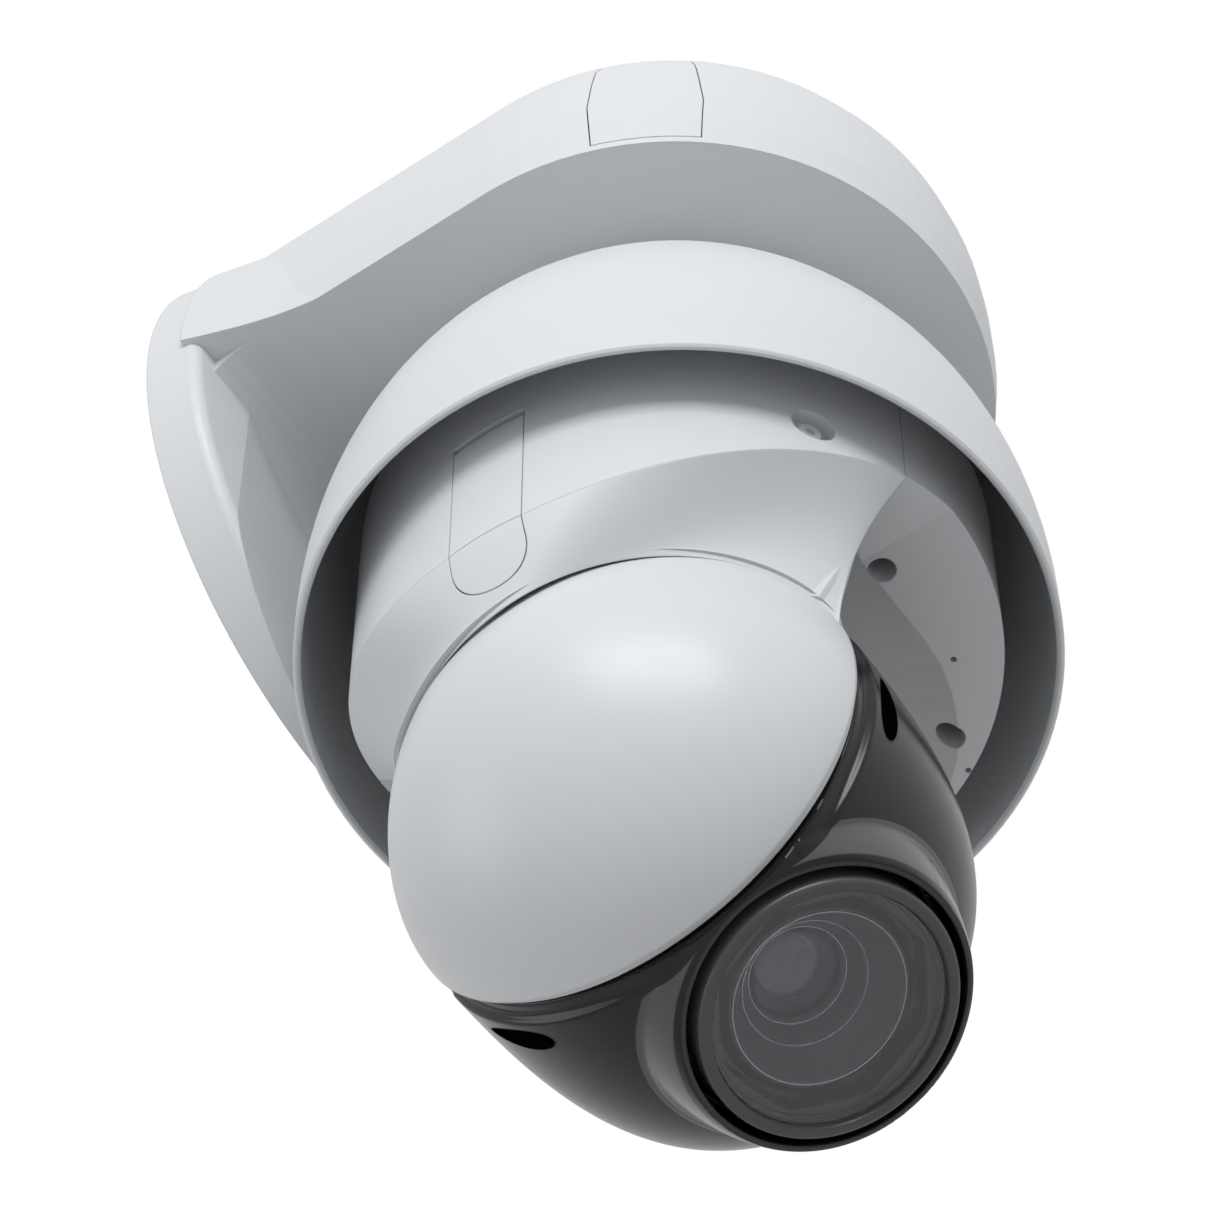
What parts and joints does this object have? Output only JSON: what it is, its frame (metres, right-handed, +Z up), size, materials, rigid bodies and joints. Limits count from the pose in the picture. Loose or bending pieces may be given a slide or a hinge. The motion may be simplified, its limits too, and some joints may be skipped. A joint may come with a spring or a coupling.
{
  "type": "ptz camera",
  "caption": "Outdoor pan-tilt-zoom camera on a round wall bracket, with a domed weather hood, a panning drum with one arm, and a black tilting head.",
  "frame": {"origin": "centre of the wall bolt pattern, on the wall plane", "axes": "+X away from the wall, +Z up along the pan axis, +Y along the tilt axis away from the arm"},
  "size_m": [0.2182, 0.2146, 0.3965],
  "materials": {
    "bracket_paint": "satin, cool light grey powder coat",
    "housing_plastic": "satin, cool light grey",
    "cast_metal": "cast, blasted",
    "steel": "plain",
    "screws": "stainless",
    "seal_rubber": "matt",
    "black_shell": "high gloss",
    "window_tint": "high gloss, dark tint that passes infrared light",
    "bezel_plastic": "fine matt",
    "board_green": "solder mask",
    "lamp_clear": "clear lens caps",
    "gear_nylon": "natural",
    "contact_brass": "plated",
    "clear_glass": "clear, coated"
  },
  "bodies": {
    "mount_base": {"wall_plate": "steel", "wall_bracket": "bracket_paint", "bracket_set_screw": "screws", "side_cover": "bracket_paint", "neck_screws": "screws", "neck_gasket": "seal_rubber", "base_neck": "cast_metal", "cable_gland": "seal_rubber", "weather_hood": "bracket_paint", "hood_collar": "seal_rubber", "hood_screws": "screws", "base_chassis": "cast_metal", "main_board": "board_green", "network_socket": "steel", "pan_ring_gear": "gear_nylon", "pan_bearing_outer": "steel", "slip_ring_stator": "bezel_plastic"},
    "pan_unit": {"pan_hub": "cast_metal", "pan_bearing_inner": "steel", "slip_ring_rotor": "contact_brass", "rear_housing": "housing_plastic", "arm_housing": "housing_plastic", "dome_cap": "bracket_paint", "rear_screws": "screws", "arm_screws": "screws", "pan_motor": "steel", "tilt_motor": "steel", "tilt_bearing": "steel", "control_board": "board_green", "service_board": "board_green"},
    "head": {"head_rear": "black_shell", "head_front": "black_shell", "tilt_shaft": "steel", "tilt_gear": "gear_nylon", "head_screws": "screws", "ir_window": "window_tint", "led_board": "board_green", "ir_leds": "lamp_clear", "light_sensor": "black_shell", "window_bezel": "bezel_plastic", "window_gasket": "seal_rubber", "window_glass": "clear_glass", "lens_barrel": "cast_metal", "front_element": "clear_glass", "camera_block": "bezel_plastic", "sensor_board": "board_green"},
    "memory_card": {"memory_card": "black_shell"},
    "reset_button": {"reset_button": "black_shell"},
    "service_cover": {"service_cover": "housing_plastic"},
    "pan_pinion": {"pan_pinion": "gear_nylon"},
    "tilt_pinion": {"tilt_pinion": "gear_nylon"},
    "zoom_group": {"zoom_group": "bezel_plastic"},
    "focus_group": {"focus_group": "bezel_plastic"},
    "ir_cut_filter": {"ir_cut_filter": "clear_glass"}
  },
  "joints": [
    {"name": "pan", "type": "hinge", "parent": "mount_base", "child": "pan_unit", "pos_m": [0.113, 0, -0.072], "axis": [0, 0, 1], "continuous": true},
    {"name": "pan_pinion_spin", "type": "hinge", "parent": "pan_unit", "child": "pan_pinion", "pos_m": [0.113, 0.05175, -0.074], "axis": [0, 0, 1], "continuous": true},
    {"name": "tilt", "type": "hinge", "parent": "pan_unit", "child": "head", "pos_m": [0.113, 0, -0.2102], "axis": [0, -1, 0], "range_deg": [-24.5, 85.5]},
    {"name": "tilt_pinion_spin", "type": "hinge", "parent": "pan_unit", "child": "tilt_pinion", "pos_m": [0.143, -0.043, -0.2102], "axis": [0, -1, 0], "range_deg": [-260, 80]},
    {"name": "service_cover_open", "type": "hinge", "parent": "pan_unit", "child": "service_cover", "pos_m": [0.113, -0.0612, -0.1549], "axis": [1, 0, 0], "range_deg": [0, 14]},
    {"name": "memory_card_slide", "type": "slide", "parent": "pan_unit", "child": "memory_card", "axis": [0, -1, 0], "range_m": [0, 0.0072]},
    {"name": "reset_button_press", "type": "slide", "parent": "pan_unit", "child": "reset_button", "axis": [0, 1, 0], "range_m": [0, 0.0008], "stiffness_N_per_m": 400},
    {"name": "zoom_travel", "type": "slide", "parent": "head", "child": "zoom_group", "axis": [0.4147, 0, -0.91], "range_m": [-0.0018, 0.003]},
    {"name": "focus_travel", "type": "slide", "parent": "head", "child": "focus_group", "axis": [0.4147, 0, -0.91], "range_m": [-0.0033, 0.0028]},
    {"name": "filter_switch", "type": "slide", "parent": "head", "child": "ir_cut_filter", "axis": [0.91, 0, 0.4147], "range_m": [0, 0.013]}
  ],
  "couplings": [
    {"joint": "pan_pinion_spin", "follows": "pan", "ratio": 3.6},
    {"joint": "tilt_pinion_spin", "follows": "tilt", "ratio": -3}
  ]
}
